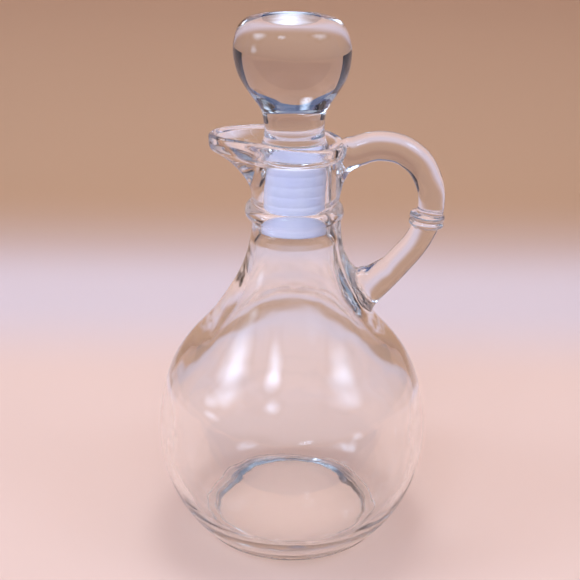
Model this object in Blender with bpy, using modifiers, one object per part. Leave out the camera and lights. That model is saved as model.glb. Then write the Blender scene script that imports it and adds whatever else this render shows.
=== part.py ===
"""Clear pressed-glass cruet with a glass ball stopper in a ribbed plastic sleeve. Metres, +Z up.

The vessel stands on z = 0, its spout points to -X and its handle to +X. Every shape is made round the Z axis,
and then all of them move by AXIS_SHIFT, so that the origin is the middle of the overall box's base.
Outlines are lists of (radius, height), and places on the handle are (x, z) in the plane y = 0.
"""

import math

import bmesh
import bpy
from mathutils import Vector
from mathutils.geometry import interpolate_bezier

MM = 0.001

# Overall sizes
TOTAL_HEIGHT = 160.0 * MM
BELLY_RADIUS = 41.8 * MM
BELLY_HEIGHT = 33.0 * MM
FOOT_RADIUS = 28.5 * MM
FOOT_RING_INNER_RADIUS = 25.7 * MM
FOOT_RECESS = 0.8 * MM
FLOOR_HEIGHT = 3.0 * MM
FLOOR_FLAT_RADIUS = 16.0 * MM
NECK_RADIUS = 12.7 * MM
FIT_GAP = 0.3 * MM
AXIS_SHIFT = -1.4 * MM

# Collar ring on the neck
COLLAR_HEIGHT = 103.9 * MM
COLLAR_RADIUS = 14.6 * MM
COLLAR_HALF_THICKNESS = 2.3 * MM

# Mouth and pouring spout
RIM_HEIGHT = 126.0 * MM
RIM_RADIUS = 14.6 * MM
RIM_INNER_RADIUS = 12.5 * MM
RIM_TILT = 1.2 * MM
RIM_ROUNDING = 1.3 * MM
SPOUT_REACH = 25.0 * MM
SPOUT_START_HEIGHT = 109.0 * MM
SPOUT_FULL_HEIGHT = 122.0 * MM
SPOUT_HALF_ANGLE = math.radians(30)
INNER_SPOUT_CURVE = 0.6
OUTER_SPOUT_CURVE = 1.75
SPOUT_MARGIN = 0.1 * MM

# Bore that holds the sleeve
BORE_TOP = 119.9 * MM
BORE_BOTTOM = 98.0 * MM
SLEEVE_TOP = 119.6 * MM
SLEEVE_BOTTOM = 98.6 * MM
SLEEVE_TOP_RADIUS = 9.5 * MM
SLEEVE_BOTTOM_RADIUS = 8.9 * MM
SLEEVE_WALL = 1.2 * MM
RIB_COUNT = 7
RIB_DEPTH = 0.15 * MM
RIB_HALF_WIDTH_SHARE = 0.35
SLEEVE_EDGE_CHAMFER = 0.3 * MM

# Stopper
KNOB_RADIUS = 16.75 * MM
KNOB_HEIGHT = 150.3 * MM
WAIST_RADIUS = 8.7 * MM
FLARE_RADIUS = 10.3 * MM
FLARE_HEIGHT = 122.6 * MM
PLUG_BOTTOM = 100.2 * MM
PLUG_EDGE_CHAMFER = 1.0 * MM
SEAT_STEP = 0.2 * MM
KNOB_LEAN = math.radians(2)

# Handle
HANDLE_RADIUS = 4.1 * MM
KNUCKLE_PLACE = (39.3 * MM, 101.3 * MM)
KNUCKLE_TILT = math.radians(6)
KNUCKLE_RADIUS = 5.2 * MM
KNUCKLE_VALLEY_RADIUS = 4.7 * MM
KNUCKLE_EDGE_RADIUS = 3.9 * MM
RIDGE_SPACING = 1.9 * MM
RIDGE_HALF_WIDTH = 1.33 * MM
KNUCKLE_HALF_LENGTH = 2.09 * MM
TAIL_PLACE = (21.9 * MM, 77.0 * MM)
TAIL_RADIUS = 4.3 * MM
LOOP_END_RADIUS = 4.1 * MM

TURN_STEPS = 40
STOPPER_STEPS = 32
KNUCKLE_STEPS = 20

GLASS_COLOUR = (0.93, 0.95, 0.95, 1.0)
SLEEVE_COLOUR = (0.86, 0.85, 0.92, 1.0)


def millimetres(*points):
    """Points given in millimetres, in metres."""
    return [tuple(value * MM for value in point) for point in points]


def smooth(knots, per_span):
    """Points of a curve that runs smoothly through the knots, both ends kept."""
    knots = [Vector(knot) for knot in knots]
    tangents = [(after - before) / 2 for before, after in zip(knots, knots[2:])]
    tangents = [knots[1] - knots[0]] + tangents + [knots[-1] - knots[-2]]
    points = [knots[0]]
    for place, (start, end) in enumerate(zip(knots, knots[1:])):
        reach = (end - start).length / 3
        leave = start + tangents[place].normalized() * reach
        arrive = end - tangents[place + 1].normalized() * reach
        points += interpolate_bezier(start, leave, arrive, end, per_span + 1)[1:]
    return [tuple(point) for point in points]


def ramp(value, start, end):
    """0 below start, 1 above end, and straight between them."""
    return min(max((value - start) / (end - start), 0.0), 1.0)


def bore_radius(height):
    """The bore follows the sleeve's taper, with the fit gap round it."""
    along = (height - SLEEVE_BOTTOM) / (SLEEVE_TOP - SLEEVE_BOTTOM)
    return SLEEVE_BOTTOM_RADIUS + along * (SLEEVE_TOP_RADIUS - SLEEVE_BOTTOM_RADIUS) + FIT_GAP


def material(name, colour, roughness, transmission, ior):
    """A Principled material without metal."""
    made = bpy.data.materials.new(name)
    made.use_nodes = True
    shader = made.node_tree.nodes["Principled BSDF"]
    shader.inputs["Base Color"].default_value = colour
    shader.inputs["Roughness"].default_value = roughness
    shader.inputs["Metallic"].default_value = 0.0
    shader.inputs["Transmission Weight"].default_value = transmission
    shader.inputs["IOR"].default_value = ior
    return made


def add_object(name, mesh, collection):
    made = bpy.data.objects.new(name, mesh)
    collection.objects.link(made)
    return made


def evaluated_mesh(source):
    """The mesh that the object's modifiers or its curve settings make."""
    bpy.context.view_layer.update()
    return bpy.data.meshes.new_from_object(source.evaluated_get(bpy.context.evaluated_depsgraph_get()))


def turned(name, profile, steps, collection):
    """A closed solid turned about Z. The profile runs down the outside, after any stretch up the inside."""
    mesh = bpy.data.meshes.new(name)
    edges = [(index, index + 1) for index in range(len(profile) - 1)]
    mesh.from_pydata([(radius, 0.0, height) for radius, height in profile], edges, [])
    made = add_object(name, mesh, collection)
    screw = made.modifiers.new("Turn", "SCREW")
    screw.steps = steps
    screw.render_steps = steps
    screw.use_merge_vertices = True
    screw.merge_threshold = 0.00001
    made.data = evaluated_mesh(made)
    made.modifiers.clear()
    return made


def bar(name, places, collection):
    """A round glass bar in the plane y = 0 through (x, z, radius) places, as a closed mesh."""
    curve = bpy.data.curves.new(name, "CURVE")
    curve.dimensions = "3D"
    curve.bevel_depth = HANDLE_RADIUS
    curve.bevel_resolution = 4
    curve.resolution_u = 5
    curve.use_fill_caps = True
    spline = curve.splines.new("BEZIER")
    spline.bezier_points.add(len(places) - 1)
    for knot, (x, z, radius) in zip(spline.bezier_points, places):
        knot.co = (x, 0.0, z)
        knot.radius = radius / HANDLE_RADIUS
        knot.handle_left_type = "AUTO"
        knot.handle_right_type = "AUTO"
    guide = add_object(name + "_curve", curve, collection)
    mesh = evaluated_mesh(guide)
    welded = bmesh.new()
    welded.from_mesh(mesh)
    bmesh.ops.remove_doubles(welded, verts=welded.verts, dist=0.000001)
    welded.to_mesh(mesh)
    welded.free()
    bpy.data.objects.remove(guide)
    made = add_object(name, mesh, collection)
    made.location.x = AXIS_SHIFT


# Vessel


def outer_wall():
    """From the spout's level down to the foot ring, with the collar as a half-round ring."""
    lip = smooth([(RIM_RADIUS, RIM_HEIGHT - RIM_ROUNDING)] + millimetres((14.4, 122.8), (13.4, 121.1)), 2)
    neck = [(NECK_RADIUS, height * MM) for height in (119.6, 116.8, 114.8, 112.8)]
    neck.append((NECK_RADIUS, SPOUT_START_HEIGHT))
    collar = []
    for step in range(7):
        turn = math.pi * step / 6
        radius = NECK_RADIUS + (COLLAR_RADIUS - NECK_RADIUS) * math.sin(turn)
        collar.append((radius, COLLAR_HEIGHT + COLLAR_HALF_THICKNESS * math.cos(turn)))
    shoulder = millimetres((12.6, 97.5), (13.9, 91), (16.4, 84), (20.9, 76), (26.2, 68.5), (32.7, 61))
    belly = millimetres((37.4, 53.5), (40.6, 43)) + [(BELLY_RADIUS, BELLY_HEIGHT)]
    heel = millimetres((40.3, 20.5), (36.2, 10), (32.2, 4)) + [(FOOT_RADIUS, 0.0)]
    return lip + neck + collar + smooth(shoulder + belly + heel, 2)


def inner_wall():
    """From the middle of the floor up the inside, through the bore, to the rim."""
    floor = [(0.0, FLOOR_HEIGHT), (FLOOR_FLAT_RADIUS, FLOOR_HEIGHT)]
    belly = millimetres((25.4, 4.2), (31.6, 9), (36.5, 18), (38.5, 28), (38.1, 38), (35.9, 48.5), (31.9, 55))
    shoulder = millimetres((26.8, 60.4), (20.9, 68), (15.8, 77), (12.4, 87.5), (11.0, 95))
    bore = [(bore_radius(height), height) for height in (BORE_BOTTOM + 0.4 * MM, BORE_TOP - 0.6 * MM)]
    mouth = smooth(millimetres((10.1, 119.9), (11.2, 121.3), (12.0, 123.2)) + [(RIM_INNER_RADIUS, 125.2 * MM)], 2)
    return floor + smooth(belly + shoulder, 2) + bore + mouth


def shape_mouth(place):
    """Draws the turned mouth out to the spout, and lets the rim rise from the handle to the spout."""
    radius = math.hypot(place.x, place.y)
    if place.z <= SPOUT_START_HEIGHT or radius < bore_radius(BORE_TOP) + SPOUT_MARGIN:
        return
    from_spout = math.atan2(place.y, -place.x)
    if radius < RIM_INNER_RADIUS + SPOUT_MARGIN:
        rise = ramp(place.z, BORE_TOP, RIM_HEIGHT) ** INNER_SPOUT_CURVE
    else:
        rise = ramp(place.z, SPOUT_START_HEIGHT, SPOUT_FULL_HEIGHT) ** OUTER_SPOUT_CURVE
    out = (SPOUT_REACH - RIM_RADIUS) * math.exp(-((from_spout / SPOUT_HALF_ANGLE) ** 2)) * rise
    place.x *= (radius + out) / radius
    place.y *= (radius + out) / radius
    place.z += RIM_TILT * math.cos(from_spout) * ramp(place.z, BORE_TOP, RIM_HEIGHT)


def vessel(collection):
    rim_top = [((RIM_RADIUS + RIM_INNER_RADIUS) / 2, RIM_HEIGHT)]
    foot = [(FOOT_RING_INNER_RADIUS, 0.0), (FOOT_RING_INNER_RADIUS - FOOT_RECESS, FOOT_RECESS), (0.0, FOOT_RECESS)]
    made = turned("cruet", inner_wall() + rim_top + outer_wall() + foot, TURN_STEPS, collection)
    for vertex in made.data.vertices:
        shape_mouth(vertex.co)
    return made


# Handle


def knuckle(collection):
    """The ring of two ridges where the handle was pressed in two halves."""
    ridge = [(KNUCKLE_RADIUS, -RIDGE_SPACING / 2), (KNUCKLE_RADIUS, -RIDGE_HALF_WIDTH)]
    lower = ridge + [(KNUCKLE_EDGE_RADIUS, -KNUCKLE_HALF_LENGTH), (0.0, -KNUCKLE_HALF_LENGTH)]
    upper = [(radius, -height) for radius, height in reversed(lower)]
    profile = upper + [(KNUCKLE_VALLEY_RADIUS, 0.0)] + lower
    made = turned("handle_knuckle", profile, KNUCKLE_STEPS, collection)
    made.location = (KNUCKLE_PLACE[0] + AXIS_SHIFT, 0.0, KNUCKLE_PLACE[1])
    made.rotation_euler = (0.0, KNUCKLE_TILT, 0.0)


def handle_shapes(collection):
    """The looped bar, its knuckle, its rounded tail on the shoulder and the webs in both corners."""
    loop = millimetres(
        (11.9, 119.9, 4.0),
        (17.2, 121.8, 4.4),
        (25.7, 123.5, 4.4),
        (33.8, 120.8, 4.3),
        (38.9, 114.0, 4.1),
        (40.4, 106.3, 3.9),
        (38.0, 96.9, 3.9),
        (31.3, 87.4, 4.1),
        (26.7, 82.4, 4.4),
    )
    bar("handle_loop", loop + [(*TAIL_PLACE, LOOP_END_RADIUS)], collection)
    upper_web = millimetres((19.5, 120.9, 2.3), (15.8, 118.0, 2.0), (13.8, 114.8, 1.8), (12.6, 111.6, 1.3))
    lower_web = millimetres((26.6, 83.8, 3.7), (21.6, 82.4, 3.7), (17.9, 82.9, 3.0), (14.6, 87.6, 2.0))
    bar("upper_web", upper_web + millimetres((12.0, 108.6, 0.9)), collection)
    bar("lower_web", lower_web + millimetres((13.3, 92.0, 1.3), (12.9, 96.5, 1.1), (12.8, 101.5, 0.9)), collection)
    knuckle(collection)
    bpy.ops.mesh.primitive_uv_sphere_add(segments=16, ring_count=10, radius=TAIL_RADIUS)
    tail = bpy.context.object
    tail.name = "handle_tail"
    tail.location = (TAIL_PLACE[0] + AXIS_SHIFT, 0.0, TAIL_PLACE[1])
    for owner in tail.users_collection:
        owner.objects.unlink(tail)
    collection.objects.link(tail)


# Stopper and sleeve


def stopper_profile():
    """From the middle of the flat top, round the ball, down the waist and flare, to the plug's end."""
    plug_top_radius = SLEEVE_TOP_RADIUS - SLEEVE_WALL - FIT_GAP
    plug_bottom_radius = SLEEVE_BOTTOM_RADIUS - SLEEVE_WALL - FIT_GAP
    knob_top = millimetres((12.2, 159.7), (14.7, 158.0), (16.2, 154.6))
    knob = knob_top + [(KNOB_RADIUS, KNOB_HEIGHT)] + millimetres((15.6, 144.3), (12.6, 138.9), (9.6, 134.3))
    waist = [(WAIST_RADIUS, 129.0 * MM)] + millimetres((9.0, 125.8)) + [(FLARE_RADIUS, FLARE_HEIGHT)]
    flare = [(FLARE_RADIUS, FLARE_HEIGHT - RIM_ROUNDING), (bore_radius(BORE_TOP) - SEAT_STEP, BORE_TOP)]
    plug = [(plug_top_radius, BORE_TOP), (plug_bottom_radius, PLUG_BOTTOM + PLUG_EDGE_CHAMFER)]
    end = [(plug_bottom_radius - PLUG_EDGE_CHAMFER, PLUG_BOTTOM), (0.0, PLUG_BOTTOM)]
    return [(0.0, TOTAL_HEIGHT)] + smooth(knob + waist, 2) + flare + plug + end


def lean_knob(place):
    """The ball sits a little off the plug's axis, towards the spout, as pressed stoppers often do."""
    place.x -= math.tan(KNOB_LEAN) * max(place.z - FLARE_HEIGHT, 0.0)


def sleeve_profile():
    """A closed outline: up the inside, over the top, and down the ribbed outside."""
    top_inner = SLEEVE_TOP_RADIUS - SLEEVE_WALL
    bottom_inner = SLEEVE_BOTTOM_RADIUS - SLEEVE_WALL
    inside = [(bottom_inner, SLEEVE_BOTTOM), (top_inner, SLEEVE_TOP)]
    outside = []
    pitch = (SLEEVE_TOP - SLEEVE_BOTTOM) / RIB_COUNT
    for rib in range(RIB_COUNT):
        crest = SLEEVE_TOP - pitch * (rib + 0.5)
        half = RIB_HALF_WIDTH_SHARE * pitch
        for height, depth in ((crest + half, RIB_DEPTH), (crest, 0.0), (crest - half, RIB_DEPTH)):
            outside.append((bore_radius(height) - FIT_GAP - depth, height))
    top_edge = [(SLEEVE_TOP_RADIUS - SLEEVE_EDGE_CHAMFER, SLEEVE_TOP)]
    bottom_edge = [(SLEEVE_BOTTOM_RADIUS - SLEEVE_EDGE_CHAMFER, SLEEVE_BOTTOM)]
    return inside + top_edge + outside + bottom_edge + inside[:1]


def finish(made, surface):
    made.data.materials.clear()
    made.data.materials.append(surface)
    made.data.shade_smooth()
    made.data.set_sharp_from_angle(angle=math.radians(40))


def main():
    for old in list(bpy.data.objects):
        bpy.data.objects.remove(old)
    parts = bpy.data.collections.new("glass_cruet")
    cutters = bpy.data.collections.new("joined_shapes")
    bpy.context.scene.collection.children.link(parts)
    bpy.context.scene.collection.children.link(cutters)

    glass = material("clear_glass", GLASS_COLOUR, 0.03, 1.0, 1.5)
    plastic = material("milky_plastic", SLEEVE_COLOUR, 0.35, 0.4, 1.45)

    cruet = vessel(parts)
    cruet.location.x = AXIS_SHIFT
    handle_shapes(cutters)
    for shape in cutters.objects:
        shape.hide_render = True
        shape.display_type = "WIRE"
    union = cruet.modifiers.new("Handle", "BOOLEAN")
    union.operation = "UNION"
    union.operand_type = "COLLECTION"
    union.collection = cutters
    union.solver = "EXACT"
    finish(cruet, glass)

    stopper = turned("stopper", stopper_profile(), STOPPER_STEPS, parts)
    stopper.location.x = AXIS_SHIFT
    for vertex in stopper.data.vertices:
        lean_knob(vertex.co)
    finish(stopper, glass)
    sleeve = turned("sleeve", sleeve_profile(), STOPPER_STEPS, parts)
    sleeve.location.x = AXIS_SHIFT
    finish(sleeve, plastic)


main()
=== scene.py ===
"""Glass cruet with its ball stopper and milky sleeve, on a plain pale floor in soft studio light."""
import math

import bmesh
import bpy
import numpy as np
from mathutils import Matrix, Vector
from mathutils.geometry import interpolate_bezier


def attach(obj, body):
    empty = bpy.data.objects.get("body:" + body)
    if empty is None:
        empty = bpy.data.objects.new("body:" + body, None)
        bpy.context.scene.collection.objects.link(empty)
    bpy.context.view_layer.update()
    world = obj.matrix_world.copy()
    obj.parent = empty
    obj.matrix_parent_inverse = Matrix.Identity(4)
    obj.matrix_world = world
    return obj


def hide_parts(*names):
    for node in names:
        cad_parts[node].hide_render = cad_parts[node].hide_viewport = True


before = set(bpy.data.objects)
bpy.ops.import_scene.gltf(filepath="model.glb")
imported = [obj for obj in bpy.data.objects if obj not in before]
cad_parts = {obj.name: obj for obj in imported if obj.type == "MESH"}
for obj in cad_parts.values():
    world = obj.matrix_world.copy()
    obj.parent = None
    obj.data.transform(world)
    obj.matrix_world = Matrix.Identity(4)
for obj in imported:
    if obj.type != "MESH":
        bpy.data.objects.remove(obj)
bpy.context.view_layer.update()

MM = 0.001

# Sizes of the vessel, in metres, the same as the solids'
BELLY_RADIUS = 41.8 * MM
BELLY_HEIGHT = 33.0 * MM
FOOT_RADIUS = 28.5 * MM
FOOT_RING_INNER_RADIUS = 25.7 * MM
FOOT_RECESS = 0.8 * MM
FOOT_EDGE = 0.7 * MM
FLOOR_HEIGHT = 3.0 * MM
FLOOR_FLAT_RADIUS = 16.0 * MM
NECK_RADIUS = 12.7 * MM
FIT_GAP = 0.3 * MM
AXIS_SHIFT = -1.4 * MM
COLLAR_HEIGHT = 103.9 * MM
COLLAR_RADIUS = 14.6 * MM
COLLAR_HALF_THICKNESS = 2.3 * MM
RIM_HEIGHT = 126.0 * MM
RIM_RADIUS = 14.6 * MM
RIM_INNER_RADIUS = 12.5 * MM
RIM_TILT = 1.2 * MM
LIP_DEPTH = 1.3 * MM
NECK_FLARE_TOP = 119.6 * MM
NECK_FLARE_BOTTOM = 116.8 * MM
MOUTH_TOP = 125.2 * MM
SPOUT_REACH = 25.0 * MM
SPOUT_START_HEIGHT = 109.0 * MM
SPOUT_FULL_HEIGHT = 122.0 * MM
SPOUT_HALF_ANGLE = math.radians(30)
BORE_TOP = 119.9 * MM
BORE_STRAIGHT_TOP = 119.3 * MM
BORE_STRAIGHT_BOTTOM = 98.4 * MM

# Sleeve and stopper
SLEEVE_TOP = 119.6 * MM
SLEEVE_BOTTOM = 98.6 * MM
SLEEVE_TOP_RADIUS = 9.5 * MM
SLEEVE_BOTTOM_RADIUS = 8.9 * MM
SLEEVE_WALL = 1.2 * MM
RIB_COUNT = 7
RIB_DEPTH = 0.15 * MM
TOTAL_HEIGHT = 160.0 * MM
KNOB_RADIUS = 16.75 * MM
KNOB_HEIGHT = 150.3 * MM
WAIST_RADIUS = 8.7 * MM
FLARE_RADIUS = 10.3 * MM
FLARE_HEIGHT = 122.6 * MM
WAIST_HEIGHT = 129.0 * MM
KNOB_FLAT_RADIUS = 7.0 * MM
PLUG_EDGE = 1.0 * MM
PLUG_BOTTOM = 100.2 * MM
KNOB_LEAN = math.radians(2)

# Handle
KNUCKLE_PLACE = (39.3 * MM, 101.3 * MM)
KNUCKLE_TILT = math.radians(6)
KNUCKLE_RADIUS = 5.2 * MM
KNUCKLE_VALLEY_RADIUS = 4.7 * MM
KNUCKLE_EDGE_RADIUS = 3.9 * MM
RIDGE_SPACING = 1.9 * MM
TAIL_PLACE = (21.9 * MM, 77.0 * MM)
TAIL_RADIUS = 4.3 * MM

# Fineness
TURN_STEPS = 144
STOPPER_TURN_STEPS = 128
SLEEVE_TURN_STEPS = 96
KNUCKLE_TURN_STEPS = 64
SPAN_STEPS = 8
STOPPER_SPAN_STEPS = 10
STRAIGHT_STEPS = 12
SHORT_STEPS = 4
COLLAR_STEPS = 16
RIM_STEPS = 12
RIB_STEPS = 10
BAR_SIDES = 40
BAR_STEP = 0.8 * MM
BAR_SPAN_STEPS = 24
DOME_ANGLES = (90, 70, 50, 35, 20, 8)
WELD_DISTANCE = 0.02 * MM

# Widths over which fused glass shapes melt together, and the part of the outside that melting may move
HANDLE_MELT = 2.0 * MM
NECK_MELT = 3.6 * MM
MELT_REACH = 1.2 * NECK_MELT
MELT_ROUNDS = 4
SLOPE_STEP = 0.05 * MM
SURFACE_TOLERANCE = 0.2 * MM
MELT_FROM_X = 8.0 * MM
MELT_TO_X = 32.0 * MM
MELT_FROM_HEIGHT = 66.0 * MM
WALL_FROM_HEIGHT = 60.0 * MM
KNUCKLE_CLEARANCE = 8.0 * MM

# Glass and plastic; the slow wave and the fine grain are bumps of this height
GLASS_IOR = 1.5
GLASS_ROUGHNESS = 0.035
VESSEL_COLOUR = (0.99, 0.995, 0.995, 1.0)
VESSEL_WAVE_SCALE = 90.0
VESSEL_WAVE_DEPTH = 0.25 * MM
VESSEL_GRAIN_DEPTH = 0.004 * MM
STOPPER_COLOUR = (0.985, 0.99, 0.995, 1.0)
STOPPER_WAVE_SCALE = 110.0
STOPPER_WAVE_DEPTH = 0.2 * MM
STOPPER_GRAIN_DEPTH = 0.003 * MM
GRAINS_PER_WAVE = 12
PLASTIC_IOR = 1.4
PLASTIC_TRANSMISSION = 0.12
PLASTIC_DARK = (0.80, 0.80, 0.98, 1.0)
PLASTIC_LIGHT = (0.87, 0.87, 1.0, 1.0)
PLASTIC_ROUGHNESS = (0.3, 0.5)
PLASTIC_GRAIN_SCALE = 180.0
PLASTIC_GRAIN_DEPTH = 0.1 * MM


def millimetres(*points):
    """Points given in millimetres, in metres."""
    return [tuple(value * MM for value in point) for point in points]


def smooth(knots, per_span):
    """Points of a curve that runs smoothly through the knots, both ends kept."""
    knots = [Vector(knot) for knot in knots]
    tangents = [(after - before) / 2 for before, after in zip(knots, knots[2:])]
    tangents = [knots[1] - knots[0]] + tangents + [knots[-1] - knots[-2]]
    points = [knots[0]]
    for place, (start, end) in enumerate(zip(knots, knots[1:])):
        reach = (end - start).length / 3
        leave = start + tangents[place].normalized() * reach
        arrive = end - tangents[place + 1].normalized() * reach
        points += interpolate_bezier(start, leave, arrive, end, per_span + 1)[1:]
    return [tuple(point) for point in points]


def even(knots, per_span):
    """A curve through the knots whose bend changes without a jump, so that its glass bends light smoothly."""
    knots = np.array(knots)
    gaps = np.linalg.norm(np.diff(knots, axis=0), axis=1)
    slopes = np.diff(knots, axis=0) / gaps[:, None]
    system = np.eye(len(knots))
    right = np.zeros_like(knots)
    for row in range(1, len(knots) - 1):
        before, after = gaps[row - 1], gaps[row]
        system[row, row - 1 : row + 2] = before, 2 * (before + after), after
        right[row] = 6 * (slopes[row] - slopes[row - 1])
    bends = np.linalg.solve(system, right)
    points = []
    for span, gap in enumerate(gaps):
        for step in range(per_span):
            late = step / per_span
            early = 1 - late
            curve = (early**3 - early) * bends[span] + (late**3 - late) * bends[span + 1]
            point = early * knots[span] + late * knots[span + 1] + gap * gap / 6 * curve
            points.append((float(point[0]), float(point[1])))
    return points + [(float(knots[-1][0]), float(knots[-1][1]))]


def straight(start, end, steps):
    """Evenly spaced points from start to end, both kept."""
    return [tuple(a + (b - a) * step / steps for a, b in zip(start, end)) for step in range(steps + 1)]


def arc(centre, radii, start, end, steps):
    """Points of an ellipse's arc between two angles in degrees, in the radius and height plane."""
    points = []
    for step in range(steps + 1):
        turn = math.radians(start + (end - start) * step / steps)
        points.append((centre[0] + radii[0] * math.cos(turn), centre[1] + radii[1] * math.sin(turn)))
    return points


def ramp(value, start, end):
    return min(max((value - start) / (end - start), 0.0), 1.0)


def bore_radius(height):
    along = (height - SLEEVE_BOTTOM) / (SLEEVE_TOP - SLEEVE_BOTTOM)
    return SLEEVE_BOTTOM_RADIUS + along * (SLEEVE_TOP_RADIUS - SLEEVE_BOTTOM_RADIUS) + FIT_GAP


def link(name, mesh):
    made = bpy.data.objects.new(name, mesh)
    bpy.context.scene.collection.objects.link(made)
    return made


def bridge(rings, steps):
    """Quads between neighbouring rings, and triangles where a ring is a single point."""
    faces = []
    for upper, lower in zip(rings, rings[1:]):
        for step in range(steps):
            after = (step + 1) % steps
            if len(upper) == 1:
                faces.append((upper[0], lower[step], lower[after]))
            elif len(lower) == 1:
                faces.append((upper[step], lower[0], upper[after]))
            else:
                faces.append((upper[step], lower[step], lower[after], upper[after]))
    return faces


def closed_piece(name, places, faces):
    """An object made of the faces, which all face outward."""
    mesh = bpy.data.meshes.new(name)
    mesh.from_pydata(places, [], faces)
    made = link(name, mesh)
    work = bmesh.new()
    work.from_mesh(mesh)
    bmesh.ops.recalc_face_normals(work, faces=work.faces)
    work.to_mesh(mesh)
    work.free()
    return made


def turned(name, profile, steps, closed=False):
    """A closed surface of quads turned about Z, with fans of triangles where the profile meets the axis."""
    rings = []
    places = []
    for radius, height in profile:
        if radius < 0.00001:
            rings.append([len(places)])
            places.append((0.0, 0.0, height))
            continue
        rings.append(list(range(len(places), len(places) + steps)))
        for step in range(steps):
            turn = 2 * math.pi * step / steps
            places.append((radius * math.cos(turn), radius * math.sin(turn), height))
    if closed:
        rings.append(rings[0])
    return closed_piece(name, places, bridge(rings, steps))


# Vessel


def outer_wall():
    """From under the rim down to the foot, with the collar as a half-round ring."""
    lip_top = (RIM_RADIUS, RIM_HEIGHT - LIP_DEPTH)
    lip = smooth([lip_top] + millimetres((14.4, 122.8), (13.4, 121.1)), SPAN_STEPS)
    neck_start = (NECK_RADIUS, NECK_FLARE_BOTTOM)
    neck_end = (NECK_RADIUS, COLLAR_HEIGHT + COLLAR_HALF_THICKNESS)
    neck = smooth([lip[-1], (NECK_RADIUS, NECK_FLARE_TOP), neck_start], SHORT_STEPS)[1:]
    neck += straight(neck_start, neck_end, STRAIGHT_STEPS)[1:]
    collar_radii = (COLLAR_RADIUS - NECK_RADIUS, COLLAR_HALF_THICKNESS)
    collar = arc((NECK_RADIUS, COLLAR_HEIGHT), collar_radii, 90, -90, COLLAR_STEPS)[1:]
    shoulder = millimetres((12.6, 97.5), (13.9, 91), (16.4, 84), (20.9, 76), (26.2, 68.5), (32.7, 61))
    belly = millimetres((37.4, 53.5), (40.6, 43)) + [(BELLY_RADIUS - 0.01 * MM, BELLY_HEIGHT)]
    heel = millimetres((40.3, 20.5), (36.2, 10), (32.2, 4))
    heel.append((FOOT_RADIUS + FOOT_EDGE * 0.6, FOOT_EDGE * 0.7))
    return lip + neck + collar + even(shoulder + belly + heel, SPAN_STEPS)


def inner_wall():
    """From the middle of the floor up the inside, through the bore, to the rim."""
    belly = millimetres((25.4, 4.2), (31.6, 9), (36.5, 18), (38.5, 28), (38.1, 38), (35.9, 48.5), (31.9, 55))
    shoulder = millimetres((26.8, 60.4), (20.9, 68), (15.8, 77), (12.4, 87.5), (11.0, 95))
    floor = [(0.0, FLOOR_HEIGHT), (FLOOR_FLAT_RADIUS / 2, FLOOR_HEIGHT), (FLOOR_FLAT_RADIUS, FLOOR_HEIGHT)]
    ends = [(bore_radius(height), height) for height in (BORE_STRAIGHT_BOTTOM, BORE_STRAIGHT_TOP)]
    bore = straight(*ends, STRAIGHT_STEPS)
    flare = millimetres((10.1, 119.9), (11.2, 121.3), (12.0, 123.2)) + [(RIM_INNER_RADIUS, MOUTH_TOP)]
    return even(floor + belly + shoulder, SPAN_STEPS) + bore + smooth(flare, SPAN_STEPS)


def foot():
    """Round the foot ring's edges and over the shallow recess to the middle."""
    edge = arc((FOOT_RADIUS, FOOT_EDGE), (FOOT_EDGE, FOOT_EDGE), -30, -90, 5)
    flat = straight((FOOT_RADIUS, 0.0), (FOOT_RING_INNER_RADIUS, 0.0), 3)[1:]
    rise = smooth([flat[-1], (FOOT_RING_INNER_RADIUS - FOOT_RECESS, FOOT_RECESS)], SHORT_STEPS)[1:]
    return edge + flat + rise + straight(rise[-1], (0.0, FOOT_RECESS), STRAIGHT_STEPS)[1:]


def shape_mouth(place):
    """Draws the turned mouth out to the spout, and lets the rim rise from the handle to the spout."""
    radius = math.hypot(place.x, place.y)
    if place.z <= SPOUT_START_HEIGHT or radius < bore_radius(BORE_TOP) + 0.1 * MM:
        return
    from_spout = math.atan2(place.y, -place.x)
    if radius < RIM_INNER_RADIUS + 0.1 * MM:
        rise = ramp(place.z, BORE_TOP, RIM_HEIGHT) ** 0.6
    else:
        rise = ramp(place.z, SPOUT_START_HEIGHT, SPOUT_FULL_HEIGHT) ** 1.75
    out = (SPOUT_REACH - RIM_RADIUS) * math.exp(-((from_spout / SPOUT_HALF_ANGLE) ** 2)) * rise
    place.x *= (radius + out) / radius
    place.y *= (radius + out) / radius
    place.z += RIM_TILT * math.cos(from_spout) * ramp(place.z, BORE_TOP, RIM_HEIGHT)


# Handle: each bar is a chain of (x, z, radius) points in the plane y = 0


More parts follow.
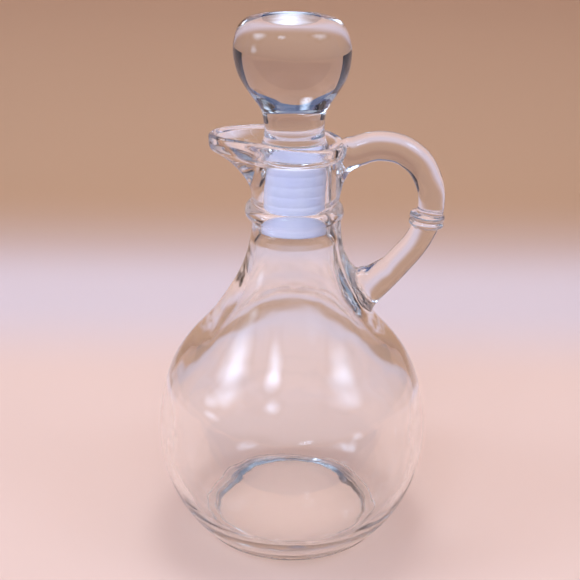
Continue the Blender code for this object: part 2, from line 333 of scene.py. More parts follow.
def centreline(places):
    """Evenly spaced points of the curve through the places, with automatic handles as a drawn curve has."""
    curve = bpy.data.curves.new("guide", "CURVE")
    curve.dimensions = "3D"
    curve.resolution_u = BAR_SPAN_STEPS
    spline = curve.splines.new("BEZIER")
    spline.bezier_points.add(len(places) - 1)
    for knot, (x, z, radius) in zip(spline.bezier_points, places):
        knot.co = (x, 0.0, z)
        knot.radius = radius / MM
        knot.handle_left_type = "AUTO"
        knot.handle_right_type = "AUTO"
    guide = link("guide", curve)
    bpy.context.view_layer.update()
    knots = []
    for knot in spline.bezier_points:
        knots.append((knot.co.copy(), knot.handle_left.copy(), knot.handle_right.copy()))
    dense = []
    for index in range(len(places) - 1):
        start, _, leave = knots[index]
        end, arrive, _ = knots[index + 1]
        part = interpolate_bezier(start, leave, arrive, end, BAR_SPAN_STEPS + 1)
        if index < len(places) - 2:
            part = part[:-1]
        for step, point in enumerate(part):
            share = step / BAR_SPAN_STEPS
            share = share * share * (3 - 2 * share)
            radius = places[index][2] * (1 - share) + places[index + 1][2] * share
            dense.append((point.x, point.z, radius))
    bpy.data.objects.remove(guide)
    dense = np.array(dense)
    length = np.concatenate([[0.0], np.cumsum(np.hypot(*np.diff(dense[:, :2], axis=0).T))])
    count = max(int(length[-1] / BAR_STEP), 4)
    marks = np.linspace(0.0, length[-1], count + 1)
    return np.column_stack([np.interp(marks, length, dense[:, column]) for column in range(3)])


def bar(name, line):
    """A round bar with domed ends along the centreline."""
    ahead = np.gradient(line[:, :2], axis=0)
    ahead /= np.linalg.norm(ahead, axis=1)[:, None]
    places = []
    rings = []
    dome = [math.radians(angle) for angle in DOME_ANGLES]

    def add_ring(middle, direction, radius):
        side = (direction[1], -direction[0])
        rings.append(list(range(len(places), len(places) + BAR_SIDES)))
        for step in range(BAR_SIDES):
            turn = 2 * math.pi * step / BAR_SIDES
            out = radius * math.cos(turn)
            places.append((middle[0] + side[0] * out, radius * math.sin(turn), middle[1] + side[1] * out))

    for angle in dome:
        point = line[0, :2] - ahead[0] * line[0, 2] * math.sin(angle)
        if angle == dome[0]:
            rings.append([len(places)])
            places.append((point[0], 0.0, point[1]))
        else:
            add_ring(point, ahead[0], line[0, 2] * math.cos(angle))
    for index in range(len(line)):
        add_ring(line[index, :2], ahead[index], line[index, 2])
    for angle in reversed(dome):
        point = line[-1, :2] + ahead[-1] * line[-1, 2] * math.sin(angle)
        if angle == dome[0]:
            rings.append([len(places)])
            places.append((point[0], 0.0, point[1]))
        else:
            add_ring(point, ahead[-1], line[-1, 2] * math.cos(angle))
    return closed_piece(name, places, bridge(rings, BAR_SIDES))


def knuckle():
    """The ring of two rounded ridges where the handle was pressed in two halves."""
    half = RIDGE_SPACING / 2
    ridge = (KNUCKLE_RADIUS - KNUCKLE_VALLEY_RADIUS) / 2
    upper = [
        (KNUCKLE_EDGE_RADIUS, 2.2 * half),
        (KNUCKLE_RADIUS - ridge, 1.75 * half),
        (KNUCKLE_RADIUS, 1.2 * half),
        (KNUCKLE_RADIUS, 0.8 * half),
        (KNUCKLE_RADIUS - ridge, 0.35 * half),
        (KNUCKLE_VALLEY_RADIUS, 0.0),
    ]
    lower = [(radius, -height) for radius, height in reversed(upper[:-1])]
    profile = [(0.0, 2.2 * half)] + smooth(upper + lower, SHORT_STEPS) + [(0.0, -2.2 * half)]
    made = turned("handle_knuckle", profile, KNUCKLE_TURN_STEPS)
    tilt = Matrix.Rotation(KNUCKLE_TILT, 4, "Y")
    made.data.transform(Matrix.Translation((KNUCKLE_PLACE[0], 0.0, KNUCKLE_PLACE[1])) @ tilt)
    return made


LOOP = centreline(
    millimetres(
        (11.9, 119.9, 4.0),
        (17.2, 121.8, 4.4),
        (25.7, 123.5, 4.4),
        (33.8, 120.8, 4.3),
        (38.9, 114.0, 4.1),
        (40.4, 106.3, 3.9),
        (38.0, 96.9, 3.9),
        (31.3, 87.4, 4.1),
        (26.7, 82.4, 4.4),
    )
    + [(*TAIL_PLACE, TAIL_RADIUS)]
)
UPPER_WEB = centreline(
    millimetres(
        (19.5, 120.9, 2.1),
        (15.8, 118.0, 1.8),
        (13.8, 114.8, 1.5),
        (12.6, 111.6, 1.0),
        (12.0, 108.6, 0.6),
    )
)
LOWER_WEB = centreline(
    millimetres(
        (26.6, 83.8, 3.5),
        (21.6, 82.4, 3.5),
        (17.9, 82.9, 2.8),
        (14.6, 87.6, 1.7),
        (13.3, 92.0, 1.0),
        (12.9, 96.5, 0.7),
        (12.8, 101.5, 0.5),
    )
)


def melt(first, second, width):
    """The smaller of two distances, with the corner between them rounded over the width."""
    blend = np.maximum(width - np.abs(first - second), 0.0) / width
    return np.minimum(first, second) - blend * blend * width / 4


def chain_distance(places, line):
    """Distance of each place from a bar whose radius changes along its centreline."""
    start = np.column_stack([line[:-1, 0], np.zeros(len(line) - 1), line[:-1, 1]])
    step = np.column_stack([line[1:, 0], np.zeros(len(line) - 1), line[1:, 1]]) - start
    offset = places[:, None, :] - start[None]
    along = (offset * step[None]).sum(2) / (step * step).sum(1)[None]
    along = np.clip(along, 0.0, 1.0)
    gap = np.linalg.norm(offset - along[..., None] * step[None], axis=2)
    radius = line[:-1, 2] + along * (line[1:, 2] - line[:-1, 2])
    return (gap - radius).min(1)


def wall_distance(places, wall):
    """Distance from the turned outer wall, less than nothing inside it."""
    radius = np.hypot(places[:, 0], places[:, 1])
    height = places[:, 2].copy()
    lift = np.clip((height - BORE_TOP) / (RIM_HEIGHT - BORE_TOP), 0.0, 1.0)
    height += RIM_TILT * lift * places[:, 0] / np.maximum(radius, MM)
    spot = np.column_stack([radius, height])
    start = wall[:-1]
    step = wall[1:] - start
    offset = spot[:, None, :] - start[None]
    along = np.clip((offset * step[None]).sum(2) / (step * step).sum(1)[None], 0.0, 1.0)
    gap = np.linalg.norm(offset - along[..., None] * step[None], axis=2).min(1)
    inside = radius < np.interp(height, wall[::-1, 1], wall[::-1, 0])
    return np.where(inside, -gap, gap)


def fused_distance(places, wall):
    handle = melt(chain_distance(places, LOOP), chain_distance(places, LOWER_WEB), HANDLE_MELT)
    handle = melt(handle, chain_distance(places, UPPER_WEB), HANDLE_MELT)
    return melt(handle, wall_distance(places, wall), NECK_MELT)


def slope(places, wall):
    """The direction in which the fused distance grows."""
    made = np.zeros_like(places)
    for axis in range(3):
        shift = np.zeros(3)
        shift[axis] = SLOPE_STEP
        made[:, axis] = fused_distance(places + shift, wall) - fused_distance(places - shift, wall)
    return made / (2 * SLOPE_STEP)


def fuse(mesh, wall):
    """Moves the outside by the handle's joints onto one melted surface, and sets its exact normals there."""
    count = len(mesh.vertices)
    places = np.empty(count * 3)
    mesh.vertices.foreach_get("co", places)
    places = places.reshape(count, 3)
    wall = np.array(wall)
    wall = wall[wall[:, 1] > WALL_FROM_HEIGHT]
    near = np.flatnonzero((places[:, 0] > MELT_FROM_X) & (places[:, 2] > MELT_FROM_HEIGHT))
    handle = np.minimum(chain_distance(places[near], LOOP), chain_distance(places[near], LOWER_WEB))
    handle = np.minimum(handle, chain_distance(places[near], UPPER_WEB))
    body = wall_distance(places[near], wall)
    on_surface = np.abs(np.minimum(handle, body)) < SURFACE_TOLERANCE
    joined = on_surface & (np.maximum(np.abs(handle), np.abs(body)) < MELT_REACH)
    joined |= on_surface & (np.abs(handle) < SURFACE_TOLERANCE) & (places[near][:, 0] < MELT_TO_X)
    away = np.linalg.norm(places[near] - np.array([KNUCKLE_PLACE[0], 0.0, KNUCKLE_PLACE[1]]), axis=1)
    near = near[joined & (away > KNUCKLE_CLEARANCE)]
    moved = places[near]
    for _ in range(MELT_ROUNDS):
        way = slope(moved, wall)
        steep = np.maximum((way * way).sum(1), 0.25)
        moved = moved - way * (fused_distance(moved, wall) / steep)[:, None]
    places[near] = moved
    mesh.vertices.foreach_set("co", places.ravel())
    mesh.update()
    normals = np.empty(count * 3)
    mesh.vertices.foreach_get("normal", normals)
    normals = normals.reshape(count, 3)
    way = slope(moved, wall)
    normals[near] = way / np.linalg.norm(way, axis=1)[:, None]
    mesh.normals_split_custom_set_from_vertices(normals.tolist())


def build_vessel():
    outer = outer_wall()
    rim = (RIM_RADIUS - RIM_INNER_RADIUS) / 2
    rim_arc = arc((RIM_INNER_RADIUS + rim, RIM_HEIGHT - rim), (rim, rim), 168, 12, RIM_STEPS)
    made = turned("vessel", inner_wall() + rim_arc + outer + foot(), TURN_STEPS)
    for vertex in made.data.vertices:
        shape_mouth(vertex.co)
    shapes = [bar("loop", LOOP), bar("upper_web", UPPER_WEB), bar("lower_web", LOWER_WEB), knuckle()]
    group = bpy.data.collections.new("shapes")
    bpy.context.scene.collection.children.link(group)
    for shape in shapes:
        bpy.context.scene.collection.objects.unlink(shape)
        group.objects.link(shape)
    union = made.modifiers.new("Handle", "BOOLEAN")
    union.operation = "UNION"
    union.operand_type = "COLLECTION"
    union.collection = group
    union.solver = "EXACT"
    bpy.context.view_layer.update()
    mesh = bpy.data.meshes.new_from_object(made.evaluated_get(bpy.context.evaluated_depsgraph_get()))
    made.modifiers.clear()
    made.data = mesh
    for shape in shapes:
        bpy.data.objects.remove(shape)
    bpy.data.collections.remove(group)
    work = bmesh.new()
    work.from_mesh(mesh)
    bmesh.ops.remove_doubles(work, verts=work.verts, dist=WELD_DISTANCE)
    bmesh.ops.triangulate(work, faces=[face for face in work.faces if len(face.verts) > 4])
    work.to_mesh(mesh)
    work.free()
    mesh.shade_smooth()
    fuse(mesh, outer)
    return made


# Stopper and sleeve


def stopper_profile():
    """From the middle of the flat top, round the ball, down the waist and flare, to the plug's end."""
    plug_top = SLEEVE_TOP_RADIUS - SLEEVE_WALL - FIT_GAP
    plug_bottom = SLEEVE_BOTTOM_RADIUS - SLEEVE_WALL - FIT_GAP
    knob_top = [(0.0, TOTAL_HEIGHT), (KNOB_FLAT_RADIUS, TOTAL_HEIGHT)]
    knob_top += millimetres((12.2, 159.7), (14.7, 158.0), (16.2, 154.6))
    knob = knob_top + [(KNOB_RADIUS, KNOB_HEIGHT)] + millimetres((15.6, 144.3), (12.6, 138.9), (9.6, 134.3))
    waist = [(WAIST_RADIUS, WAIST_HEIGHT)] + millimetres((9.0, 125.8)) + [(FLARE_RADIUS, FLARE_HEIGHT)]
    flare = [(FLARE_RADIUS, FLARE_HEIGHT - 1.3 * MM), (bore_radius(BORE_TOP) - 0.2 * MM, BORE_TOP + 0.1 * MM)]
    seat = straight((plug_top + 0.3 * MM, BORE_TOP), (plug_top, BORE_TOP - 0.3 * MM), 3)
    edge_height = PLUG_BOTTOM + PLUG_EDGE
    plug = straight(seat[-1], (plug_bottom, edge_height), STRAIGHT_STEPS)[1:]
    end = arc((plug_bottom - PLUG_EDGE, edge_height), (PLUG_EDGE, PLUG_EDGE), 0, -90, 6)[1:]
    return (
        smooth(knob + waist, STOPPER_SPAN_STEPS)
        + smooth([waist[-1]] + flare, SHORT_STEPS)[1:]
        + seat
        + plug
        + end
        + straight(end[-1], (0.0, PLUG_BOTTOM), 8)[1:]
    )


def build_stopper():
    """The glass above the flare leans towards the spout."""
    made = turned("stopper_glass", stopper_profile(), STOPPER_TURN_STEPS)
    for vertex in made.data.vertices:
        vertex.co.z = min(vertex.co.z, TOTAL_HEIGHT)
        vertex.co.x -= math.tan(KNOB_LEAN) * max(vertex.co.z - FLARE_HEIGHT, 0.0)
    made.data.shade_smooth()
    return made


def build_sleeve():
    """The ribs run round the outside as shallow waves."""
    top_inner = SLEEVE_TOP_RADIUS - SLEEVE_WALL
    bottom_inner = SLEEVE_BOTTOM_RADIUS - SLEEVE_WALL
    inside = straight((bottom_inner, SLEEVE_BOTTOM), (top_inner, SLEEVE_TOP), 20)
    outside = []
    length = SLEEVE_TOP - SLEEVE_BOTTOM
    steps = RIB_COUNT * RIB_STEPS
    for step in range(steps + 1):
        height = SLEEVE_TOP - 0.3 * MM - (length - 0.6 * MM) * step / steps
        wave = abs(math.sin(math.pi * (SLEEVE_TOP - height) / length * RIB_COUNT)) ** 0.5
        outside.append((bore_radius(height) - FIT_GAP - RIB_DEPTH * (1 - wave), height))
    top_edge = [(SLEEVE_TOP_RADIUS - 0.35 * MM, SLEEVE_TOP)]
    bottom_edge = [(SLEEVE_BOTTOM_RADIUS - 0.4 * MM, SLEEVE_BOTTOM)]
    profile = inside + top_edge + outside + bottom_edge
    made = turned("sleeve_plastic", profile, SLEEVE_TURN_STEPS, closed=True)
    made.data.shade_smooth()
    made.data.set_sharp_from_angle(angle=math.radians(50))
    return made


# Materials


def new_material(name):
    made = bpy.data.materials.new(name)
    made.use_nodes = True
    return made, made.node_tree, made.node_tree.nodes["Principled BSDF"]


def noise(tree, place, scale, detail):
    made = tree.nodes.new("ShaderNodeTexNoise")
    made.inputs["Scale"].default_value = scale
    made.inputs["Detail"].default_value = detail
    tree.links.new(place.outputs["Object"], made.inputs["Vector"])
    return made


def bump(tree, texture, strength, depth):
    made = tree.nodes.new("ShaderNodeBump")
    made.inputs["Strength"].default_value = strength
    made.inputs["Distance"].default_value = depth
    tree.links.new(texture.outputs["Fac"], made.inputs["Height"])
    return made


def glass(name, colour, wave_scale, wave_depth, grain_depth):
    """Clear pressed glass: a slow wave from the mould, a fine grain, and roughness that wanders a little."""
    made, tree, shader = new_material(name)
    shader.inputs["Base Color"].default_value = colour
    shader.inputs["Transmission Weight"].default_value = 1.0
    shader.inputs["IOR"].default_value = GLASS_IOR
    place = tree.nodes.new("ShaderNodeTexCoord")
    wave = noise(tree, place, wave_scale, 1.0)
    grain = noise(tree, place, wave_scale * GRAINS_PER_WAVE, 2.0)
    slow = bump(tree, wave, 1.0, wave_depth)
    fine = bump(tree, grain, 1.0, grain_depth)
    tree.links.new(slow.outputs["Normal"], fine.inputs["Normal"])
    tree.links.new(fine.outputs["Normal"], shader.inputs["Normal"])
    wander = tree.nodes.new("ShaderNodeMapRange")
    wander.inputs["From Min"].default_value = 0.35
    wander.inputs["From Max"].default_value = 0.65
    wander.inputs["To Min"].default_value = 0.0
    wander.inputs["To Max"].default_value = GLASS_ROUGHNESS
    tree.links.new(grain.outputs["Fac"], wander.inputs["Value"])
    tree.links.new(wander.outputs["Result"], shader.inputs["Roughness"])
    return made


def milky(name):
    """Milky moulded plastic: lilac white, a little see-through, with a fine grain."""
    made, tree, shader = new_material(name)
    shader.inputs["Transmission Weight"].default_value = PLASTIC_TRANSMISSION
    shader.inputs["IOR"].default_value = PLASTIC_IOR
    place = tree.nodes.new("ShaderNodeTexCoord")
    cloud = noise(tree, place, PLASTIC_GRAIN_SCALE, 3.0)
    tint = tree.nodes.new("ShaderNodeValToRGB")
    tint.color_ramp.elements[0].position = 0.3
    tint.color_ramp.elements[0].color = PLASTIC_DARK
    tint.color_ramp.elements[1].position = 0.7
    tint.color_ramp.elements[1].color = PLASTIC_LIGHT
    tree.links.new(cloud.outputs["Fac"], tint.inputs["Fac"])
    tree.links.new(tint.outputs["Color"], shader.inputs["Base Color"])
    rough = tree.nodes.new("ShaderNodeMapRange")
    rough.inputs["To Min"].default_value = PLASTIC_ROUGHNESS[0]
    rough.inputs["To Max"].default_value = PLASTIC_ROUGHNESS[1]
    tree.links.new(cloud.outputs["Fac"], rough.inputs["Value"])
    tree.links.new(rough.outputs["Result"], shader.inputs["Roughness"])
    grain = bump(tree, cloud, 0.4, PLASTIC_GRAIN_DEPTH)
    tree.links.new(grain.outputs["Normal"], shader.inputs["Normal"])
    return made


# Studio: places and sizes in metres, powers in watts

# Paper: floor, bend and wall, with the colour changing from front to back as painted light: a painted sheen
# where the bend catches the light, and painted shade up the wall
PAPER_FRONT = (-1.4, -0.8, -0.4)
PAPER_ROW = 0.02
PAPER_BEND_START = 0.24
PAPER_BEND_RADIUS = 0.12
PAPER_BEND_STEPS = 16
PAPER_WALL_ROW = 0.1
PAPER_WALL_ROWS = 11
PAPER_SIDES = (-1.6, -0.8, -0.4, -0.2, 0.0, 0.2, 0.4, 0.8, 1.6)
# Painted light: the bend's pale band is a painted sheen, and the wall's darker tan is the paper's own tone
# with painted shade
FLOOR_COLOUR = (0.85, 0.60, 0.52, 1.0)
PAINTED_SHEEN_COLOUR = (0.75, 0.61, 0.64, 1.0)
SHADED_WALL_COLOUR = (0.53, 0.31, 0.195, 1.0)
PAINTED_LIGHT_SPAN = (-0.10, 0.40)
PAINTED_LIGHT_STOPS = ((0.38, FLOOR_COLOUR), (0.54, PAINTED_SHEEN_COLOUR), (0.57, PAINTED_SHEEN_COLOUR))
SHADED_WALL_STOP = 0.79

# Room
WORLD_LEVEL = (0.14, 0.19, 0.30, 1.0)
WORLD_TOP = (0.42, 0.46, 0.56, 1.0)

# Glowing cards, which face the middle of the body: name, place, width and height, strength
COOL = (0.60, 0.76, 1.0)
BODY_MIDDLE = (0.0, 0.0, 0.10)
SOFTBOXES = (
    ("left_light", (-0.55, -0.10, 0.53), (0.44, 0.44), 9.0),
    ("right_light", (0.48, -0.16, 0.61), (0.44, 0.42), 7.0),
    ("front_light", (-0.21, -0.40, 0.66), (0.24, 0.34), 10.0),
    ("low_light", (-0.66, -0.15, 0.21), (0.28, 0.20), 6.0),
)
BACK_BAR_PLACE = (-0.004, 0.32, 0.25)
BACK_BAR_TARGET = (0.0, 0.0, 0.16)
BACK_BAR_SIZE = (0.030, 0.16)
BACK_BAR_STRENGTH = 4.0

# Dark cards; the side and high ones stand in pairs, left and right
SIDE_FLAG_PLACE = (0.33, 0.20, 0.255)
SIDE_FLAG_TARGET = (0.0, 0.0, 0.255)
SIDE_FLAG_SIZE = (0.22, 0.31)
SIDE_FLAG_COLOUR = (0.01, 0.012, 0.02, 1.0)
HIGH_FLAG_PLACE = (0.46, -0.46, 0.80)
HIGH_FLAG_TARGET = (0.0, 0.0, 0.14)
HIGH_FLAG_SIZE = (0.30, 0.30)
HIGH_FLAG_COLOUR = (0.03, 0.06, 0.14, 1.0)
BACK_FLAG_PLACE = (0.0, 0.33, 0.42)
BACK_FLAG_TARGET = (0.0, -0.67, 0.42)
BACK_FLAG_SIZE = (0.60, 0.18)
BACK_FLAG_COLOUR = (0.10, 0.14, 0.24, 1.0)
FRONT_FLAG_PLACE = (0.0, -0.49, 0.003)
FRONT_FLAG_TARGET = (0.0, -0.49, 1.0)
FRONT_FLAG_SIZE = (1.1, 0.81)
FRONT_FLAG_COLOUR = (0.04, 0.09, 0.22, 1.0)

# Lamps that the glass doesn't mirror, which face a place on the floor: place, width, power, colour
LAMP_TARGET = (0.0, 0.05, 0.0)
FILL_LIGHT = ((0.1, -0.45, 1.3), 1.2, 8.5, (1.0, 0.955, 0.91))
FRONT_FILL = ((-0.05, -0.9, 0.95), 0.7, 1.0, (1.0, 0.97, 0.95))
SLEEVE_LIGHT = ((-0.15, -0.50, 0.30), 0.30, 2.1, (0.86, 0.88, 1.0))
BACK_LIGHT = ((0.0, 0.22, 0.80), 0.25, 1.5, (0.72, 0.90, 1.0))
GATHERED_HEIGHT = 0.50
GATHERED_POWER = 5.2
GATHERED_COLOUR = (0.86, 0.93, 1.0)
GATHERED_ANGLE = math.radians(9)
GATHERED_SOFTNESS = 0.01


def build_sweep():
    """Floor that curves up into a wall, as one sheet that hides nothing from those who stand behind it."""
    profile = [(y, 0.0) for y in PAPER_FRONT]
    profile += [(row * PAPER_ROW, 0.0) for row in range(-15, 13)]
    for step in range(1, PAPER_BEND_STEPS + 1):
        turn = math.radians(90 * step / PAPER_BEND_STEPS)
        back = PAPER_BEND_START + PAPER_BEND_RADIUS * math.sin(turn)
        profile.append((back, PAPER_BEND_RADIUS - PAPER_BEND_RADIUS * math.cos(turn)))
    wall = PAPER_BEND_START + PAPER_BEND_RADIUS
    profile += [(wall, PAPER_BEND_RADIUS + PAPER_WALL_ROW * row) for row in range(1, PAPER_WALL_ROWS + 1)]
    places = [(x, y, z) for y, z in profile for x in PAPER_SIDES]
    width = len(PAPER_SIDES)
    faces = []
    for row in range(len(profile) - 1):
        for column in range(width - 1):
            corner = row * width + column
            faces.append((corner, corner + 1, corner + width + 1, corner + width))
    mesh = bpy.data.meshes.new("studio_sweep")
    mesh.from_pydata(places, [], faces)
    made = link("studio_sweep", mesh)
    mesh.shade_smooth()
    paper_and_painted_light, tree, shader = new_material("studio_paper_painted_light")
    shader.inputs["Roughness"].default_value = 0.9
    shader.inputs["Specular IOR Level"].default_value = 0.1
    spot = tree.nodes.new("ShaderNodeNewGeometry")
    split = tree.nodes.new("ShaderNodeSeparateXYZ")
    tree.links.new(spot.outputs["Position"], split.inputs["Vector"])
    # Painted light and shade: a ramp on the distance back lightens the bend as a painted sheen and darkens
    # the wall as painted shade
    back = tree.nodes.new("ShaderNodeMapRange")
    back.inputs["From Min"].default_value = PAINTED_LIGHT_SPAN[0]
    back.inputs["From Max"].default_value = PAINTED_LIGHT_SPAN[1]
    tree.links.new(split.outputs["Y"], back.inputs["Value"])
    tint = tree.nodes.new("ShaderNodeValToRGB")
    tint.color_ramp.interpolation = "EASE"
    tint.color_ramp.elements[0].position = 0.0
    tint.color_ramp.elements[0].color = FLOOR_COLOUR
    tint.color_ramp.elements[1].position = SHADED_WALL_STOP
    tint.color_ramp.elements[1].color = SHADED_WALL_COLOUR
    for position, colour in PAINTED_LIGHT_STOPS:
        stop = tint.color_ramp.elements.new(position)
        stop.color = colour
    tree.links.new(back.outputs["Result"], tint.inputs["Fac"])
    tree.links.new(tint.outputs["Color"], shader.inputs["Base Color"])
    one_sided = tree.nodes.new("ShaderNodeMixShader")
    tree.links.new(spot.outputs["Backfacing"], one_sided.inputs[0])
    tree.links.new(shader.outputs["BSDF"], one_sided.inputs[1])
    clear = tree.nodes.new("ShaderNodeBsdfTransparent")
    tree.links.new(clear.outputs["BSDF"], one_sided.inputs[2])
    tree.links.new(one_sided.outputs["Shader"], tree.nodes["Material Output"].inputs["Surface"])
    mesh.materials.append(paper_and_painted_light)
    return made


def hidden_card(name, place, target, size, surface):
    """A card that the glass mirrors and bends into view, but that the camera itself doesn't see."""
    half_width, half_height = size[0] / 2, size[1] / 2
    mesh = bpy.data.meshes.new(name)
    corners = [(-half_width, -half_height, 0.0), (half_width, -half_height, 0.0)]
    corners += [(half_width, half_height, 0.0), (-half_width, half_height, 0.0)]
    mesh.from_pydata(corners, [], [(0, 1, 2, 3)])
    mesh.materials.append(surface)
    made = link(name, mesh)
    made.location = place
    made.rotation_mode = "QUATERNION"
    made.rotation_quaternion = (Vector(target) - Vector(place)).to_track_quat("Z", "Y")
    made.visible_camera = False
    made.visible_shadow = False
    return made


def softbox(name, place, target, size, strength, mirrored_only=False):
    """A glowing card with soft edges. Mirrored only, it stays out of what shines through the glass."""
    surface, tree, shader = new_material(name + "_cloth")
    tree.nodes.remove(shader)
    light = tree.nodes.new("ShaderNodeEmission")
    light.inputs["Color"].default_value = (*COOL, 1.0)
    spot = tree.nodes.new("ShaderNodeTexCoord")
    centred = tree.nodes.new("ShaderNodeVectorMath")
    centred.operation = "MULTIPLY_ADD"
    centred.inputs[1].default_value = (2.0, 2.0, 0.0)
    centred.inputs[2].default_value = (-1.0, -1.0, 0.0)
    tree.links.new(spot.outputs["Generated"], centred.inputs[0])
    out = tree.nodes.new("ShaderNodeVectorMath")
    out.operation = "LENGTH"
    tree.links.new(centred.outputs["Vector"], out.inputs[0])
    fade = tree.nodes.new("ShaderNodeMapRange")
    fade.interpolation_type = "SMOOTHSTEP"
    fade.inputs["From Min"].default_value = 0.0
    fade.inputs["From Max"].default_value = 1.0
    fade.inputs["To Min"].default_value = strength
    fade.inputs["To Max"].default_value = 0.0
    tree.links.new(out.outputs["Value"], fade.inputs["Value"])
    tree.links.new(fade.outputs["Result"], light.inputs["Strength"])
    output = tree.nodes["Material Output"]
    tree.links.new(light.outputs["Emission"], output.inputs["Surface"])
    made = hidden_card(name, place, target, size, surface)
    made.visible_transmission = not mirrored_only
    made.visible_diffuse = not mirrored_only


def flag(name, place, target, size, colour, mirrored=False):
    """A dark card that shows through the glass, and in its mirror images only where it is mirrored."""
    surface, tree, shader = new_material(name + "_card")
    shader.inputs["Base Color"].default_value = colour
    shader.inputs["Roughness"].default_value = 0.9
    made = hidden_card(name, place, target, size, surface)
    made.visible_diffuse = False
    made.visible_glossy = mirrored


def build_world():
    """A dim blue room, a little lighter overhead."""
    world = bpy.data.worlds.new("studio")
    bpy.context.scene.world = world
    world.use_nodes = True
    tree = world.node_tree
    sky = tree.nodes["Background"]
    place = tree.nodes.new("ShaderNodeTexCoord")
    split = tree.nodes.new("ShaderNodeSeparateXYZ")
    tree.links.new(place.outputs["Generated"], split.inputs["Vector"])
    tint = tree.nodes.new("ShaderNodeValToRGB")
    tint.color_ramp.elements[0].position = 0.1
    tint.color_ramp.elements[0].color = WORLD_LEVEL
    tint.color_ramp.elements[1].position = 1.0
    tint.color_ramp.elements[1].color = WORLD_TOP
    tree.links.new(split.outputs["Z"], tint.inputs["Fac"])
    tree.links.new(tint.outputs["Color"], sky.inputs["Color"])
    sky.inputs["Strength"].default_value = 1.0


def build_lights(paper, sleeve):
    for name, place, size, strength in SOFTBOXES:
        softbox(name, place, BODY_MIDDLE, size, strength)
    softbox("back_bar", BACK_BAR_PLACE, BACK_BAR_TARGET, BACK_BAR_SIZE, BACK_BAR_STRENGTH, mirrored_only=True)
    for side, name in ((-1, "left"), (1, "right")):
        place = (side * SIDE_FLAG_PLACE[0], *SIDE_FLAG_PLACE[1:])
        flag(name + "_flag", place, SIDE_FLAG_TARGET, SIDE_FLAG_SIZE, SIDE_FLAG_COLOUR)
        place = (side * HIGH_FLAG_PLACE[0], *HIGH_FLAG_PLACE[1:])
        flag(name + "_high_flag", place, HIGH_FLAG_TARGET, HIGH_FLAG_SIZE, HIGH_FLAG_COLOUR)
    flag("back_flag", BACK_FLAG_PLACE, BACK_FLAG_TARGET, BACK_FLAG_SIZE, BACK_FLAG_COLOUR)
    front = (FRONT_FLAG_PLACE, FRONT_FLAG_TARGET, FRONT_FLAG_SIZE, FRONT_FLAG_COLOUR)
    flag("front_flag", *front, mirrored=True)
    build_fill(paper, sleeve)
    build_world()


def add_lamp(name, data, place):
    """A lamp that the glass neither mirrors nor shows."""
    made = bpy.data.objects.new(name, data)
    bpy.context.scene.collection.objects.link(made)
    made.location = place
    made.visible_glossy = False
    made.visible_transmission = False
    return made


def area_light(name, place, size, power, colour):
    data = bpy.data.lights.new(name, "AREA")
    data.shape = "SQUARE"
    data.size = size
    data.energy = power
    data.color = colour
    made = add_lamp(name, data, place)
    made.rotation_mode = "QUATERNION"
    made.rotation_quaternion = (Vector(LAMP_TARGET) - made.location).to_track_quat("-Z", "Y")
    return made


def collect(name, only):
    made = bpy.data.collections.new(name)
    made.objects.link(only)
    return made


def build_fill(paper, sleeve):
    """The overhead fill, the light gathered under the foot and the sleeve's light pass through the glass."""
    fill = area_light("fill_light", *FILL_LIGHT)
    blockers = collect("fill_blockers", paper)
    fill.light_linking.blocker_collection = blockers
    area_light("front_fill", *FRONT_FILL)
    sleeve_light = area_light("sleeve_light", *SLEEVE_LIGHT)
    sleeve_light.light_linking.blocker_collection = blockers
    sleeve_light.light_linking.receiver_collection = collect("sleeve_only", sleeve)
    area_light("back_light", *BACK_LIGHT)
    data = bpy.data.lights.new("gathered_light", "SPOT")
    data.energy = GATHERED_POWER
    data.color = GATHERED_COLOUR
    data.spot_size = GATHERED_ANGLE
    data.spot_blend = 1.0
    data.shadow_soft_size = GATHERED_SOFTNESS
    gathered = add_lamp("gathered_light", data, (AXIS_SHIFT, 0.0, GATHERED_HEIGHT))
    gathered.light_linking.blocker_collection = blockers


# Camera: it looks down on the object from the front, turned a little about its own axis

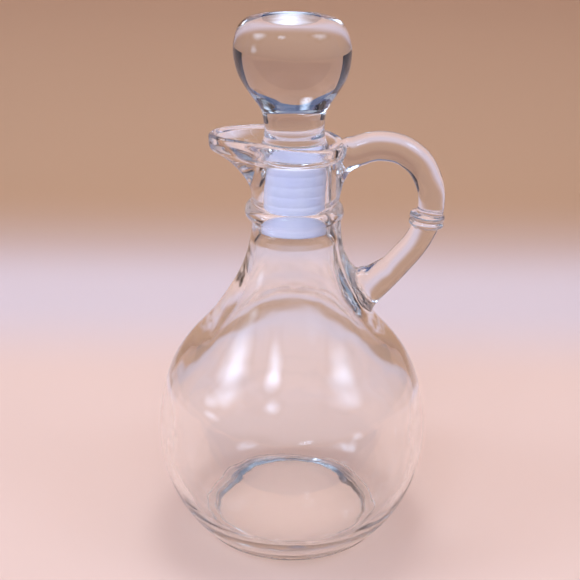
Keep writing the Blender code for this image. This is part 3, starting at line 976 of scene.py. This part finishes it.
PICTURE_WIDTH = 580
FOCAL_LENGTH_IN_PIXELS = 1200
SENSOR_WIDTH = 36.0
NEAR_LIMIT = 0.01
CAMERA_PITCH = math.radians(22.9)
CAMERA_ROLL = math.radians(0.6)
CAMERA_DISTANCE = 0.3646
CAMERA_SIDE_STEP = 0.97 * MM
AIM_HEIGHT = 0.078


def build_camera():
    data = bpy.data.cameras.new("camera")
    data.sensor_width = SENSOR_WIDTH
    data.lens = SENSOR_WIDTH * FOCAL_LENGTH_IN_PIXELS / PICTURE_WIDTH
    data.clip_start = NEAR_LIMIT
    made = bpy.data.objects.new("camera", data)
    bpy.context.scene.collection.objects.link(made)
    back = -CAMERA_DISTANCE * math.cos(CAMERA_PITCH)
    side = AXIS_SHIFT - CAMERA_SIDE_STEP
    place = Matrix.Translation((side, back, AIM_HEIGHT + CAMERA_DISTANCE * math.sin(CAMERA_PITCH)))
    turn = Matrix.Rotation(math.pi / 2 - CAMERA_PITCH, 4, "X") @ Matrix.Rotation(CAMERA_ROLL, 4, "Z")
    made.matrix_world = place @ turn
    bpy.context.scene.camera = made


def dress(piece, node, surface):
    piece.data.transform(Matrix.Translation((AXIS_SHIFT, 0.0, 0.0)))
    piece.data.materials.clear()
    piece.data.materials.append(surface)
    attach(piece, "root")
    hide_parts(node)


LIGHT_BOUNCES = 24

build_camera()
vessel_look = (VESSEL_COLOUR, VESSEL_WAVE_SCALE, VESSEL_WAVE_DEPTH, VESSEL_GRAIN_DEPTH)
vessel_glass = glass("vessel_glass", *vessel_look)
stopper_look = (STOPPER_COLOUR, STOPPER_WAVE_SCALE, STOPPER_WAVE_DEPTH, STOPPER_GRAIN_DEPTH)
stopper_glass = glass("stopper_glass", *stopper_look)
dress(build_vessel(), "cruet", vessel_glass)
dress(build_stopper(), "stopper", stopper_glass)
sleeve = build_sleeve()
dress(sleeve, "sleeve", milky("sleeve_plastic"))
build_lights(build_sweep(), sleeve)

scene = bpy.context.scene
scene.view_settings.view_transform = "Standard"
scene.cycles.max_bounces = LIGHT_BOUNCES
scene.cycles.transmission_bounces = LIGHT_BOUNCES
scene.cycles.glossy_bounces = LIGHT_BOUNCES
scene.cycles.use_denoising = True
scene.cycles.sample_clamp_indirect = 0.0
